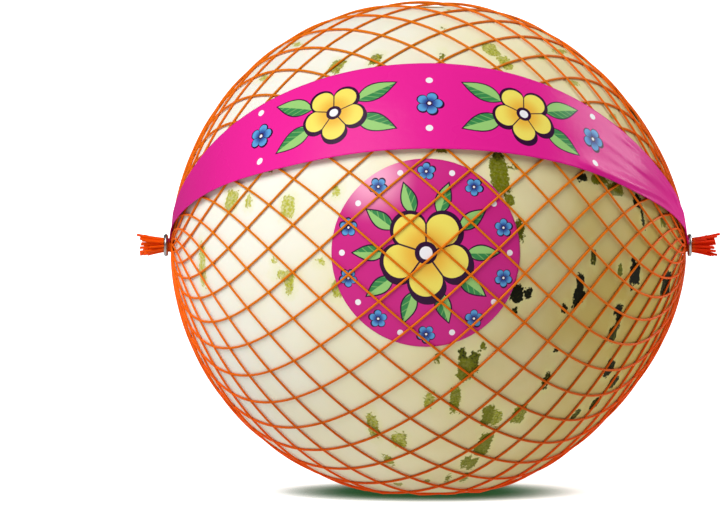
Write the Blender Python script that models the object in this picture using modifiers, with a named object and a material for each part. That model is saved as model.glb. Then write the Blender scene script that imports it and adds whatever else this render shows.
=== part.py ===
"""A whole ivory melon in a shop net, with a film band over the net and a round sticker under it.

X runs from clip to clip, the band and the sticker face -Y, and +Z is up. The origin is on the
surface that the melon rests on, under its middle. Lengths are in metres and angles in degrees.
"""

import math
import random

import bmesh
import bpy
from mathutils import Matrix, Vector

# The fruit. Its stem end is up, and its own weight rests on a small flat spot. It is a little
# slimmer towards the right clip and a little fuller at its upper left.
MELON_RADIUS = 0.0810
MELON_HALF_HEIGHT = 0.0784
CENTRE_HEIGHT = 0.0772
MELON_FLAT_LEVEL = 0.0012
MELON_MERIDIANS = 56
MELON_RINGS = 30
LUMP_HEIGHT = 0.0003
TILTED_LUMP_HEIGHT = 0.0002
RIGHT_TAPER = 0.0108
RIGHT_TAPER_TILT = 0.27
LEFT_SHOULDER = 0.0035
DIMPLE_DEPTH = 0.0012
DIMPLE_REACH = 0.12

# The net. Its crossings lie in rows round the X axis, and each strand turns by half a mesh per row.
# A strand is straight between crossings, so these stand off the skin most where they are far apart.
STRANDS_EACH_WAY = 22
STRAND_THICKNESS = 0.0011
NET_OFFSET_AT_CLIPS = 0.00090
NET_OFFSET_RISE = 0.00105
NET_FLOOR_LEVEL = 0.0003
ROW_SPREAD = 4.8
NET_AXIS_LIFT = 0.0015

# The gathered ends of the net, along the X axis. Distances run outwards from the melon's middle.
GATHER_RADIUS = 0.0066
GATHER_RIM_RADIUS = 0.0076
GATHER_INNER_REACH = MELON_RADIUS + 0.0005
GATHER_OUTER_REACH = MELON_RADIUS + 0.0015
NECK_RADIUS = 0.00185
NECK_START = 0.0825
NECK_END = 0.0847
TUFT_BASE_RADIUS = 0.0029
TUFT_BASE_END = 0.0864
TUFT_BASE_CHAMFER = 0.0007
GATHER_SIDES = 20

# The cut strand ends beyond each clip.
TAIL_COUNT = 12
TAIL_THICKNESS = 0.0010
TAIL_ROOT = 0.0854
TAIL_REACH = (0.0900, 0.0928)
TAIL_ROOT_SPREAD = 0.0017
TAIL_SPREAD = 0.0042
TAIL_FAN_POWER = 1.4
TAIL_TURN = 137.5
TAIL_STEPS = 3

# The wire rings that close the net.
CLIP_DISTANCES = {-1: 0.0836, 1: 0.0832}
CLIP_WIRE_RADIUS = 0.0007
CLIP_MIDDLE_RADIUS = 0.0029
CLIP_SEGMENTS = 24
CLIP_WIRE_SIDES = 8

# The film band, which lies on the net from clip to clip, above the front of the melon.
BAND_LOW_EDGE = 25.3
BAND_HIGH_EDGE = 49.2
BAND_OVER_NET = 0.00095
BAND_THICKNESS = 0.0005
BAND_END_RADIUS = 0.0047
BAND_STEPS_LONG = 34
BAND_STEPS_WIDE = 8
PLEAT_HEIGHT = 0.0006
PLEAT_COUNT = 3
PLEAT_START = 0.55

# The round sticker on the skin, under the net.
STICKER_RADIUS = 0.0303
STICKER_OFFSET = 0.00035
STICKER_THICKNESS = 0.00035
STICKER_AZIMUTH = 2.3
STICKER_SIDE_SHIFT = -0.0011
STICKER_SIDES = 32
STICKER_RINGS = 4

# The block that trims the net's underside to the surface it rests on.
CUTTER_SIZE = 0.1

CENTRE = Vector((0, 0, CENTRE_HEIGHT))
LIFTED_CENTRE = Vector((0, 0, CENTRE_HEIGHT + NET_AXIS_LIFT))


def clear_scene():
    """Remove whatever the scene starts with."""
    for thing in list(bpy.data.objects):
        bpy.data.objects.remove(thing, do_unlink=True)


def new_collection(name):
    """A collection of that name in the scene."""
    collection = bpy.data.collections.new(name)
    bpy.context.scene.collection.children.link(collection)
    return collection


def new_material(name, colour, roughness, metallic=0.0):
    """A plain Principled BSDF material, with its colour as linear red, green and blue."""
    material = bpy.data.materials.new(name)
    material.use_nodes = True
    shader = material.node_tree.nodes["Principled BSDF"]
    shader.inputs["Base Color"].default_value = (*colour, 1.0)
    shader.inputs["Roughness"].default_value = roughness
    shader.inputs["Metallic"].default_value = metallic
    return material


def new_object(name, mesh, collection, material=None):
    """An object that shows the mesh, linked to a collection."""
    thing = bpy.data.objects.new(name, mesh)
    collection.objects.link(thing)
    if material is not None:
        mesh.materials.append(material)
    return thing


def mesh_from(name, shape):
    """A smooth-shaded mesh made of a bmesh, which is freed."""
    bmesh.ops.recalc_face_normals(shape, faces=shape.faces[:])
    mesh = bpy.data.meshes.new(name)
    shape.to_mesh(mesh)
    shape.free()
    mesh.shade_smooth()
    return mesh


def apply_modifiers(thing):
    """Replace an object's mesh by what its modifiers make of it."""
    bpy.context.view_layer.update()
    evaluated = thing.evaluated_get(bpy.context.evaluated_depsgraph_get())
    shaped = bpy.data.meshes.new_from_object(evaluated)
    thing.modifiers.clear()
    thing.data = shaped


def skin_radius(direction):
    """Distance from the melon's middle to its skin along a unit direction."""
    x, y, z = direction
    across = x * x + y * y
    oval = 1 / math.sqrt(across / MELON_RADIUS ** 2 + z * z / MELON_HALF_HEIGHT ** 2)
    turn = math.atan2(y, x)
    lump = LUMP_HEIGHT * math.sin(2 * turn) + TILTED_LUMP_HEIGHT * z * math.sin(3 * turn)
    taper = RIGHT_TAPER * max(x, 0.0) ** 3 * (1 - x * x) * (1 - RIGHT_TAPER_TILT * z)
    shoulder = LEFT_SHOULDER * max(-x, 0.0) ** 2 * max(z, 0.0) ** 3
    return oval + across * lump + shoulder - taper


def over_skin(direction, offset, lowest):
    """The point that lies an offset outside the skin, and no lower than a level."""
    point = CENTRE + direction * (skin_radius(direction) + offset)
    point.z = max(point.z, lowest)
    return point


def net_offset(polar):
    """Distance from the skin to a strand's middle, at a crossing at a polar angle."""
    return NET_OFFSET_AT_CLIPS + NET_OFFSET_RISE * math.sin(math.radians(polar))


def net_direction(polar, azimuth):
    """Unit direction at a polar angle from the +X clip and an azimuth above the front.

    The clips sit a little above the melon's middle, so the directions bend upwards at both ends.
    """
    polar = math.radians(polar)
    azimuth = math.radians(azimuth)
    ring = math.sin(polar)
    x = math.cos(polar)
    lift = NET_AXIS_LIFT / MELON_RADIUS * x * x
    return Vector((x, -ring * math.cos(azimuth), ring * math.sin(azimuth) + lift)).normalized()


def make_melon(collection, material):
    """The fruit: an oval body with a stem dimple on top and a flat spot below."""
    shape = bmesh.new()
    bmesh.ops.create_uvsphere(shape, u_segments=MELON_MERIDIANS, v_segments=MELON_RINGS, radius=1)
    for vertex in shape.verts:
        direction = vertex.co.normalized()
        from_stem = math.hypot(direction.x, direction.y) / DIMPLE_REACH
        dimple = DIMPLE_DEPTH * math.exp(-from_stem ** 2) if direction.z > 0 else 0.0
        vertex.co = over_skin(direction, -dimple, MELON_FLAT_LEVEL)
    new_object("melon", mesh_from("melon", shape), collection, material)


def net_row_polar(row):
    """Polar angle of a row of crossings, with the rows closer together towards the clips."""
    run = 2 * row / STRANDS_EACH_WAY
    from_middle = 90 * run + ROW_SPREAD * math.sin(math.pi * run)
    gathered = 90 - math.degrees(math.asin(GATHER_RADIUS / GATHER_OUTER_REACH))
    return 90 - max(-gathered, min(gathered, from_middle))


def net_guide_mesh():
    """Diamonds whose edges run along the net's strands, closed at the gathered ends."""
    pitch = 360 / STRANDS_EACH_WAY
    last_row = STRANDS_EACH_WAY // 2
    shape = bmesh.new()
    crossings = {}
    for row in range(-last_row, last_row + 1):
        polar = net_row_polar(row)
        for column in range(STRANDS_EACH_WAY):
            azimuth = -90 + pitch * (column + 0.5 * (row % 2))
            point = over_skin(net_direction(polar, azimuth), net_offset(polar), NET_FLOOR_LEVEL)
            crossings[row, column] = shape.verts.new(point)
    for row in range(-last_row, last_row + 1):
        for column in range(STRANDS_EACH_WAY):
            following = (column + 1) % STRANDS_EACH_WAY
            between = (column + row % 2) % STRANDS_EACH_WAY
            corners = [(row, column), (row + 1, between), (row, following), (row - 1, between)]
            shape.faces.new([crossings[corner] for corner in corners if corner in crossings])
    for row in (-last_row, last_row):
        shape.faces.new([crossings[row, column] for column in range(STRANDS_EACH_WAY)])
    return mesh_from("net", shape)


def make_gather(side, collection):
    """The closed dish, neck and tuft base of the net at one end, as a turned solid."""
    profile_points = [
        (0.0, TUFT_BASE_END),
        (TUFT_BASE_RADIUS - TUFT_BASE_CHAMFER, TUFT_BASE_END),
        (TUFT_BASE_RADIUS, TUFT_BASE_END - TUFT_BASE_CHAMFER),
        (NECK_RADIUS, NECK_END),
        (NECK_RADIUS, NECK_START),
    ]
    for radius in (GATHER_RIM_RADIUS / 2, GATHER_RIM_RADIUS):
        profile_points.append((radius, math.sqrt(GATHER_OUTER_REACH ** 2 - radius ** 2)))
    for radius in (GATHER_RIM_RADIUS, GATHER_RIM_RADIUS / 2, 0.0):
        profile_points.append((radius, math.sqrt(GATHER_INNER_REACH ** 2 - radius ** 2)))
    shape = bmesh.new()
    corners = [shape.verts.new((radius, 0, reach)) for radius, reach in profile_points]
    for start, end in zip(corners, corners[1:]):
        shape.edges.new((start, end))
    profile = bpy.data.meshes.new("gather")
    shape.to_mesh(profile)
    shape.free()
    gather = new_object("gather", profile, collection)
    turned = gather.modifiers.new("turn", "SCREW")
    turned.axis = "Z"
    turned.steps = GATHER_SIDES
    turned.render_steps = GATHER_SIDES
    turned.use_merge_vertices = True
    turned.merge_threshold = 0.00001
    apply_modifiers(gather)
    gather.data.transform(Matrix.Rotation(side * math.pi / 2, 4, "Y"))
    gather.data.transform(Matrix.Translation(LIFTED_CENTRE))


def make_tails(side, collection, chance):
    """The cut strand ends, which fan out of the neck and differ in length."""
    for number in range(TAIL_COUNT):
        share = math.sqrt((number + 0.5) / TAIL_COUNT)
        turn = number * math.radians(TAIL_TURN)
        outward = Vector((0, math.cos(turn), math.sin(turn)))
        longest = number == TAIL_COUNT // 2
        reach = TAIL_REACH[1] if longest else chance.uniform(*TAIL_REACH)
        curve = bpy.data.curves.new("tail", "CURVE")
        curve.dimensions = "3D"
        curve.bevel_depth = TAIL_THICKNESS / 2
        curve.bevel_resolution = 0
        curve.use_fill_caps = True
        spline = curve.splines.new("POLY")
        spline.points.add(TAIL_STEPS)
        for step in range(TAIL_STEPS + 1):
            run = step / TAIL_STEPS
            along = TAIL_ROOT + run * (reach - TAIL_ROOT)
            fan = share * (TAIL_ROOT_SPREAD * (1 - run) + TAIL_SPREAD * run ** TAIL_FAN_POWER)
            place = LIFTED_CENTRE + Vector((side * along, 0, 0)) + outward * fan
            spline.points[step].co = (*place, 1)
        guide = bpy.data.objects.new("tail_guide", curve)
        collection.objects.link(guide)
        bpy.context.view_layer.update()
        evaluated = guide.evaluated_get(bpy.context.evaluated_depsgraph_get())
        mesh = bpy.data.meshes.new_from_object(evaluated)
        bpy.data.objects.remove(guide)
        shape = bmesh.new()
        shape.from_mesh(mesh)
        bmesh.ops.remove_doubles(shape, verts=shape.verts[:], dist=0.000001)
        new_object("tail", mesh_from("tail", shape), collection)


def make_net(collection, cutters, material):
    """The net: crossing strands all round, joined to the gathered ends and cut flat below."""
    net = new_object("net", net_guide_mesh(), collection, material)
    strands = net.modifiers.new("strands", "WIREFRAME")
    strands.thickness = STRAND_THICKNESS
    strands.use_even_offset = True
    strands.use_relative_offset = False
    strands.use_boundary = True
    apply_modifiers(net)

    chance = random.Random(7)
    ends = new_collection("net ends")
    for side in (-1, 1):
        make_gather(side, ends)
        make_tails(side, ends, chance)
    join = net.modifiers.new("join", "BOOLEAN")
    join.operation = "UNION"
    join.operand_type = "COLLECTION"
    join.collection = ends
    apply_modifiers(net)
    for thing in list(ends.objects):
        bpy.data.objects.remove(thing, do_unlink=True)
    bpy.data.collections.remove(ends)

    bpy.ops.mesh.primitive_cube_add(size=CUTTER_SIZE, location=(0, 0, -CUTTER_SIZE / 2))
    floor = bpy.context.object
    floor.name = "floor_cutter"
    floor.hide_render = True
    floor.display_type = "WIRE"
    for owner in list(floor.users_collection):
        owner.objects.unlink(floor)
    cutters.objects.link(floor)
    flatten = net.modifiers.new("flatten", "BOOLEAN")
    flatten.operation = "DIFFERENCE"
    flatten.object = floor


def make_clip(name, side, collection, material):
    """One closed wire ring round the net's neck."""
    place = LIFTED_CENTRE + Vector((side * CLIP_DISTANCES[side], 0, 0))
    bpy.ops.mesh.primitive_torus_add(
        major_radius=CLIP_MIDDLE_RADIUS, minor_radius=CLIP_WIRE_RADIUS,
        major_segments=CLIP_SEGMENTS, minor_segments=CLIP_WIRE_SIDES,
        location=place, rotation=(0, math.pi / 2, 0))
    clip = bpy.context.object
    clip.name = name
    clip.data.shade_smooth()
    clip.data.materials.append(material)
    for owner in list(clip.users_collection):
        owner.objects.unlink(clip)
    collection.objects.link(clip)


def make_band(collection, material):
    """The film band: a strip that narrows to both clips, with a few pleats towards the right one."""
    end_polar = math.degrees(math.asin(BAND_END_RADIUS / MELON_RADIUS))
    shape = bmesh.new()
    rows = []
    for long_step in range(BAND_STEPS_LONG + 1):
        run = long_step / BAND_STEPS_LONG
        polar = 180 - end_polar - (180 - 2 * end_polar) * run
        pleated = max(0.0, run - PLEAT_START) / (1 - PLEAT_START)
        row = []
        for wide_step in range(BAND_STEPS_WIDE + 1):
            across = wide_step / BAND_STEPS_WIDE
            azimuth = BAND_LOW_EDGE + (BAND_HIGH_EDGE - BAND_LOW_EDGE) * across
            ridge = math.sin(math.pi * PLEAT_COUNT * across) ** 2
            pleat = PLEAT_HEIGHT * math.sin(math.pi * pleated) * ridge
            offset = net_offset(polar) + BAND_OVER_NET + pleat
            point = over_skin(net_direction(polar, azimuth), offset, 0.0)
            row.append(shape.verts.new(point))
        rows.append(row)
    for low, high in zip(rows, rows[1:]):
        for step in range(BAND_STEPS_WIDE):
            shape.faces.new((low[step], high[step], high[step + 1], low[step + 1]))
    band = new_object("band", mesh_from("band", shape), collection, material)
    add_film_thickness(band, BAND_THICKNESS)


def make_sticker(collection, material):
    """The round sticker: a thin disc that follows the skin."""
    middle = net_direction(90, STICKER_AZIMUTH)
    middle = Vector((STICKER_SIDE_SHIFT / MELON_RADIUS, middle.y, middle.z)).normalized()
    sideways = Vector((0, 0, 1)).cross(middle).normalized()
    upwards = middle.cross(sideways)
    shape = bmesh.new()
    rings = []
    for ring in range(1, STICKER_RINGS + 1):
        angle = ring / STICKER_RINGS * STICKER_RADIUS / MELON_RADIUS
        points = []
        for step in range(STICKER_SIDES):
            turn = 2 * math.pi * step / STICKER_SIDES
            outward = sideways * math.cos(turn) + upwards * math.sin(turn)
            direction = middle * math.cos(angle) + outward * math.sin(angle)
            points.append(shape.verts.new(over_skin(direction, STICKER_OFFSET, 0.0)))
        rings.append(points)
    hub = shape.verts.new(over_skin(middle, STICKER_OFFSET, 0.0))
    for step in range(STICKER_SIDES):
        following = (step + 1) % STICKER_SIDES
        shape.faces.new((hub, rings[0][step], rings[0][following]))
        for inner, outer in zip(rings, rings[1:]):
            shape.faces.new((inner[step], outer[step], outer[following], inner[following]))
    sticker = new_object("sticker", mesh_from("sticker", shape), collection, material)
    add_film_thickness(sticker, STICKER_THICKNESS)


def add_film_thickness(film, thickness):
    """Make an open sheet solid outwards, away from the melon."""
    outward = sum((face.normal.dot(face.center - CENTRE) for face in film.data.polygons))
    solid = film.modifiers.new("thickness", "SOLIDIFY")
    solid.thickness = thickness
    solid.offset = 1.0 if outward > 0 else -1.0


def main():
    """Build every piece in one collection, with the cutter in another."""
    clear_scene()
    pieces = new_collection("netted melon")
    cutters = new_collection("cutters")
    make_melon(pieces, new_material("ivory rind", (0.62, 0.58, 0.37), 0.45))
    make_net(pieces, cutters, new_material("orange net", (0.80, 0.16, 0.01), 0.40))
    steel = new_material("clip steel", (0.45, 0.45, 0.44), 0.32, metallic=1.0)
    make_clip("clip_left", -1, pieces, steel)
    make_clip("clip_right", 1, pieces, steel)
    make_band(pieces, new_material("magenta film", (0.75, 0.03, 0.28), 0.35))
    make_sticker(pieces, new_material("magenta paper", (0.62, 0.03, 0.22), 0.45))


main()
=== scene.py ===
"""A whole ivory melon as it is sold: in an orange net with two wire clips, a film band and a sticker.

X runs from clip to clip, the band and the sticker face -Y, and +Z is up. Lengths are in metres and
angles in degrees, except where a name says millimetres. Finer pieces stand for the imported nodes.
"""

import math
import random

import bpy
import numpy as np
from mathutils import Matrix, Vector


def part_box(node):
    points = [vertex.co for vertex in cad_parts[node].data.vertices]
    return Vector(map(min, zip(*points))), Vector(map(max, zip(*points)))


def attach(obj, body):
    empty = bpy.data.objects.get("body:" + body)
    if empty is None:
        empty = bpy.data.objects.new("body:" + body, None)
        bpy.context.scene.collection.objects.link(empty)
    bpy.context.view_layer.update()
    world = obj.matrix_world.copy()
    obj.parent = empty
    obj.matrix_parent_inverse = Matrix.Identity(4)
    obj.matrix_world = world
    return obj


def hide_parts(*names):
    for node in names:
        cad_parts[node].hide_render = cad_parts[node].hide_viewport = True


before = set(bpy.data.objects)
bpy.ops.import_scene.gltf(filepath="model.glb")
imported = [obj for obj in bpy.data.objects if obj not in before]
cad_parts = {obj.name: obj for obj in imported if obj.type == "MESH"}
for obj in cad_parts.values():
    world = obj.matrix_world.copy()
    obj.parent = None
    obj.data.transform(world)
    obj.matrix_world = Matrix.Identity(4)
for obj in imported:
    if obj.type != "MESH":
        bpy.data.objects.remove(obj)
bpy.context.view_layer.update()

# The rind. The fruit grew in one piece: a smooth oval, wider than high, that rests on a small flat
# spot. The round corky scar of its stem is on top and the smaller one of its blossom is below.
# Most of its green flecks are colour in the skin, drawn out from the stem towards the blossom end.
FRUIT_RADIUS = 0.0810
FRUIT_HALF_HEIGHT = 0.0784
FRUIT_MIDDLE = np.array((0.0, 0.0, 0.0772))
LUMP_HEIGHT = 0.0003
TILTED_LUMP_HEIGHT = 0.0002
RIGHT_TAPER = 0.0108
RIGHT_TAPER_TILT = 0.27
LEFT_SHOULDER = 0.0035
DIMPLE_DEPTH = 0.0013
DIMPLE_REACH = 0.12
RIND_FLAT_LEVEL = 0.0009
FLAT_SOFTNESS = 0.0001
RIND_CUTS = 127
METRES_TO_MM = 1000.0

# Flecks on the front: longitude, latitude, width and length in millimetres, tone from pale to black.
PALE_FLECKS = (
    (-52, 13, 6, 7, 0.15), (-46, 13, 3, 4.5, 0.1), (-34, 12, 5.5, 7, 0.05), (-22, 16, 2.5, 3.5, 0.05),
    (-62, -2, 4.5, 13, 0.05), (-37, 0, 2, 2, 0.05), (-34, -3, 6.5, 3, 0.1), (-33, -5, 3.5, 6, 0.15),
    (-25, 0, 3, 2.5, 0.05), (-21, -6, 3.5, 6, 0.15), (-42, 21, 4, 4, 0.4), (-70, 56, 8, 2, 0.1),
    (-34, 49, 5, 7, 0.3), (-20, 52, 3.5, 5.5, 0.35), (-65, 44, 5.5, 2.5, 0.15),
)
OLIVE_FLECKS_AND_BAND_SHADE = (
    (26, 79, 2, 2.5, 0.4), (8, 66, 1.5, 2.5, 0.4), (5, 53, 2, 5, 0.45), (26, 56, 5.5, 8, 0.2),
    (29, 51, 4.5, 7, 0.2), (68, 55, 10, 2.5, 0.2), (49, 53, 5, 2.5, 0.2), (54, 44, 5.5, 2.5, 0.2),
    (64, 34, 6, 2.5, 0.2), (3, 27, 5, 5, 0.6), (17, 24, 4.5, 4, 0.75), (17, 20, 6, 13, 0.5),
    (19, 14, 3, 4, 0.5), (21, 22, 2.5, 2.5, 0.65), (21, 7, 3, 7, 0.7), (13, -19, 1.5, 3, 0.6),
    (2, -22, 1.5, 4, 0.5), (8, -21, 2.5, 4, 0.75), (11, -23, 3.5, 7.5, 0.7), (9, -25, 5.5, 8, 0.5),
    (7, -33, 3.5, 11, 0.4), (0, -33, 3.5, 6, 0.25), (17, -38, 4, 9, 0.5), (20, -39, 4, 7, 0.3),
    (19, -48, 5, 12, 0.5), (18, -56, 3, 8, 0.45), (27, -38, 4.5, 9, 0.4), (15, -55, 3, 8, 0.45),
    (19, -63, 2.5, 8, 0.35), (10, -63, 1.5, 7, 0.45), (-1, -65, 1.5, 5, 0.3), (-8, -45, 1.5, 4, 0.35),
    (-17, -41, 3.5, 11, 0.25), (-10, -46, 5, 7.5, 0.2), (-16, -54, 3, 7, 0.3), (-19, -68, 2.5, 4, 0.3),
    # These three, along the band's low edge, are partly olive flecks and partly painted shadow of the band.
    (46, 18.5, 8, 3.5, 0.5), (51, 16, 8, 4.5, 0.45), (70, 8, 5, 5, 0.45),
)
BLACK_FLECKS = (
    (40, 19, 4.5, 3, 1.0), (59, 13, 5, 4, 0.95), (60, 9, 2, 6, 0.85), (20, -7, 5, 6, 1.0),
    (23, -7, 2.5, 3.5, 1.0), (20, -11, 2, 2, 0.9), (41, 1, 2.5, 5.5, 0.8), (50, -3, 2.5, 4, 0.6),
    (37, -5, 3.5, 6, 1.0), (37, -8, 4.5, 6, 1.0), (36, -10, 2.5, 3.5, 0.95), (33, -11, 2.5, 3.5, 0.9),
    (56, -4, 6, 7, 1.0), (55, -1, 2, 2.5, 1.0), (55, -7, 2.5, 2.5, 1.0), (72, -7, 8, 8.5, 0.9),
    (51, -12, 4.5, 4, 1.0), (52, -15, 3, 6, 0.95), (51, -18, 4.5, 6, 0.8), (33, -21, 2.5, 1.5, 0.9),
    (32, -29, 2.5, 6, 0.85), (55, -27, 5, 7, 0.9), (61, -31, 6, 5, 0.85), (58, -37, 5, 5.5, 0.8),
    (51, -40, 3.5, 4.5, 0.75),
)
FLECK_FIELD_LIMIT = 3.0
FLECK_POWER = 4
NEAR_FLECK_COSINE = 0.9
BARE_TONE = 0.4
# Flecks round the back, drawn at random between these limits. A long one has a head and a tail.
HIDDEN_FLECKS = 70
HIDDEN_LONGITUDES = (84, 276)
HIDDEN_HEIGHTS = (-0.9, 0.9)
HIDDEN_WIDTHS_MM = (2.0, 6.5)
HIDDEN_STRETCH = (0.9, 2.6)
HIDDEN_TONES = (0.6, 1.0)
SPLIT_FLECK_LENGTH = 1.35
FLECK_HEAD_SHARE = (0.48, 0.62)
FLECK_HEAD_OVERLAP = 0.75
FLECK_TAIL_SHARE = (0.55, 0.75)
FLECK_TAIL_SHIFT = 0.3
FLECK_TAIL_PALER = 0.06
FLECK_SEED = 21

RIND_IVORY = (0.87, 0.86, 0.755, 1.0)
RIND_CREAM = (0.83, 0.765, 0.475, 1.0)
RIND_KHAKI_SHADED = (0.545, 0.405, 0.085, 1.0)
FLECK_HALO = (0.72, 0.73, 0.28, 1.0)
FLECK_PALE = (0.50, 0.50, 0.055, 1.0)
FLECK_OLIVE = (0.150, 0.160, 0.001, 1.0)
FLECK_BLACK = (0.006, 0.007, 0.0015, 1.0)
CORK_LIGHT = (0.42, 0.31, 0.16, 1.0)
CORK_DARK = (0.13, 0.085, 0.04, 1.0)
STEM_SCAR_RADIUS_MM = 5.2
BLOSSOM_SCAR_RADIUS_MM = 2.6
SCAR_WAVE_MM = 1.6
SCAR_EDGE_MM = (-0.15, 0.25)
SCAR_TOP_MM = (100.0, 110.0)
# Ripeness and painted shade run from ivory to khaki. They grow to the right and down to a level, with a
# mottle in it.
RIPE_AND_SHADE_LOWEST_MM = 62.0
RIPE_AND_SHADE_FALL = (-0.0052, 0.401)
RIPE_AND_SHADE_TO_RIGHT = 0.0105
RIPE_MOTTLE = 0.16
RIPE_AND_SHADE_CREAM = (-0.75, 0.10)
RIPE_AND_SHADE_KHAKI = (-0.15, 0.85)
# Waves in a fleck's edge and specks in its colour: lumps a millimetre and how far they reach.
BROAD_LUMPS = 0.35
BROAD_REACH_MM = 1.8
RAGGED_LUMPS = 1.1
RAGGED_REACH_MM = 2.2
SPECKLE_LUMPS = 1.6
SPECKLE_REACH = 0.9
GRANULE_LUMPS = 1.15
GRANULE_STEP = (0.40, 0.58)
GAP_POWER = 3.0
GAP_SHARE = 0.5
FLECK_EDGE_MM = (-0.12, 0.22)
HALO_EDGE_MM = (-2.2, 0.2)
HALO_SHARE = 0.30
OLIVE_TONES = (0.0, 0.5)
BLACK_TONES = (0.5, 0.95)
DULL_TONES = (0.5, 1.0)
# Roughness, here and below: what the grain's mottle adds at most, and the least.
RIND_ROUGHNESS = (0.08, 0.38)
FLECK_DULLNESS = 0.35
SCAR_DULLNESS = 0.4
RIND_GRAIN_MM = 1.6
RIND_RELIEF = 0.00005
SCAR_RELIEF = 6.0


def unit_rows(rows):
    """Vectors, one a row, made one unit long."""
    return rows / np.linalg.norm(rows, axis=1)[:, None]


def skin_reach(ways):
    """Distance from the fruit's middle to its skin along unit directions, one a row."""
    x, y, z = ways.T
    across = x * x + y * y
    oval = 1 / np.sqrt(across / FRUIT_RADIUS ** 2 + z * z / FRUIT_HALF_HEIGHT ** 2)
    turn = np.arctan2(y, x)
    lump = LUMP_HEIGHT * np.sin(2 * turn) + TILTED_LUMP_HEIGHT * z * np.sin(3 * turn)
    taper = RIGHT_TAPER * np.maximum(x, 0) ** 3 * (1 - x * x) * (1 - RIGHT_TAPER_TILT * z)
    shoulder = LEFT_SHOULDER * np.maximum(-x, 0) ** 2 * np.maximum(z, 0) ** 3
    return oval + across * lump + shoulder - taper


def above_skin(ways, offset, lowest):
    """The points that lie an offset outside the skin, pressed flat just above a level."""
    points = FRUIT_MIDDLE + ways * (skin_reach(ways) + offset)[:, None]
    over = (points[:, 2] - lowest) / FLAT_SOFTNESS
    points[:, 2] = lowest + FLAT_SOFTNESS * np.logaddexp(0, over)
    return points


def read_points(thing):
    """An object's vertices as an array, one a row."""
    points = np.empty(len(thing.data.vertices) * 3, dtype=np.float32)
    thing.data.vertices.foreach_get("co", points)
    return points.reshape(-1, 3).astype(float)


def place_points(thing, points):
    """Move an object's vertices to the rows of an array."""
    thing.data.vertices.foreach_set("co", points.astype(np.float32).ravel())
    thing.data.update()


def give_value(thing, name, values):
    """Store one number per vertex under a name that a material can read."""
    attribute = thing.data.attributes.new(name, "FLOAT", "POINT")
    attribute.data.foreach_set("value", values.astype(np.float32))


def way_at(longitude, latitude):
    """Unit direction at a longitude from the front, positive to the right, and a latitude."""
    turn = math.radians(longitude)
    rise = math.radians(latitude)
    level = math.cos(rise)
    return np.array((level * math.sin(turn), -level * math.cos(turn), math.sin(rise)))


def fleck_blocks():
    """Every fleck as blocks: direction, half width, half length, sideways shift, drop and tone.

    A long fleck out of the front is a broad head with a narrower tail below it, set to one side.
    """
    chance = random.Random(FLECK_SEED)
    blocks = []
    for longitude, latitude, width, length, tone in PALE_FLECKS + OLIVE_FLECKS_AND_BAND_SHADE + BLACK_FLECKS:
        blocks.append((way_at(longitude, latitude), 0.5 * width, 0.5 * length, 0.0, 0.0, tone))
    for _ in range(HIDDEN_FLECKS):
        longitude = chance.uniform(*HIDDEN_LONGITUDES)
        latitude = math.degrees(math.asin(chance.uniform(*HIDDEN_HEIGHTS)))
        width = chance.uniform(*HIDDEN_WIDTHS_MM)
        length = width * chance.uniform(*HIDDEN_STRETCH)
        tone = 0.5 + 0.5 * math.sin(math.radians(longitude)) * chance.uniform(*HIDDEN_TONES)
        way = way_at(longitude, latitude)
        side = chance.choice((-1, 1))
        if length < SPLIT_FLECK_LENGTH * width:
            blocks.append((way, 0.5 * width, 0.5 * length, 0.0, 0.0, tone))
            continue
        head = chance.uniform(*FLECK_HEAD_SHARE) * length
        tail = length - FLECK_HEAD_OVERLAP * head
        head_width = 0.5 * width
        tail_width = chance.uniform(*FLECK_TAIL_SHARE) * head_width
        head_drop = 0.5 * (head - length)
        tail_drop = 0.5 * (length - tail)
        shift = side * FLECK_TAIL_SHIFT * head_width
        blocks.append((way, head_width, 0.5 * head, 0.0, head_drop, tone))
        blocks.append((way, tail_width, 0.5 * tail, shift, tail_drop, tone - FLECK_TAIL_PALER))
    return blocks


def fleck_values(ways):
    """How far inside the nearest fleck each direction lies, in millimetres, and that fleck's tone."""
    deepest = np.full(len(ways), -FLECK_FIELD_LIMIT)
    tones = np.full(len(ways), BARE_TONE)
    for way, half_width, half_length, shift, drop, tone in fleck_blocks():
        near = np.flatnonzero(ways @ way > NEAR_FLECK_COSINE)
        east = np.cross((0, 0, 1), way)
        east = east / np.linalg.norm(east)
        north = np.cross(way, east)
        reach = FRUIT_RADIUS * METRES_TO_MM
        across = np.abs(ways[near] @ east * reach - shift) / half_width
        along = np.abs(ways[near] @ north * reach + drop) / half_length
        edge = (across ** FLECK_POWER + along ** FLECK_POWER) ** (1 / FLECK_POWER)
        inside = (1 - edge) * min(half_width, half_length)
        higher = inside > deepest[near]
        deepest[near[higher]] = inside[higher]
        tones[near[higher]] = tone
    return np.clip(deepest, -FLECK_FIELD_LIMIT, FLECK_FIELD_LIMIT), tones


bpy.ops.object.select_all(action="DESELECT")
bpy.ops.mesh.primitive_cube_add(size=2)
rind = bpy.context.object
rind.name = "rind"
bpy.ops.object.mode_set(mode="EDIT")
bpy.ops.mesh.select_all(action="SELECT")
bpy.ops.mesh.subdivide(number_cuts=RIND_CUTS)
bpy.ops.object.mode_set(mode="OBJECT")
rind_ways = unit_rows(np.tan(read_points(rind) * math.pi / 4))
from_stem = np.hypot(rind_ways[:, 0], rind_ways[:, 1]) / DIMPLE_REACH
dimple = DIMPLE_DEPTH * np.exp(-from_stem ** 2) * (rind_ways[:, 2] > 0)
place_points(rind, above_skin(rind_ways, -dimple, RIND_FLAT_LEVEL))
rind.data.shade_smooth()
fleck_depth, fleck_tone = fleck_values(rind_ways)
give_value(rind, "fleck_depth", fleck_depth)
give_value(rind, "fleck_tone", fleck_tone)


def feed(tree, socket, value):
    """Link a socket to another node's output, or set it to a number, vector or colour."""
    if isinstance(value, bpy.types.NodeSocket):
        tree.links.new(value, socket)
    else:
        socket.default_value = value


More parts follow.
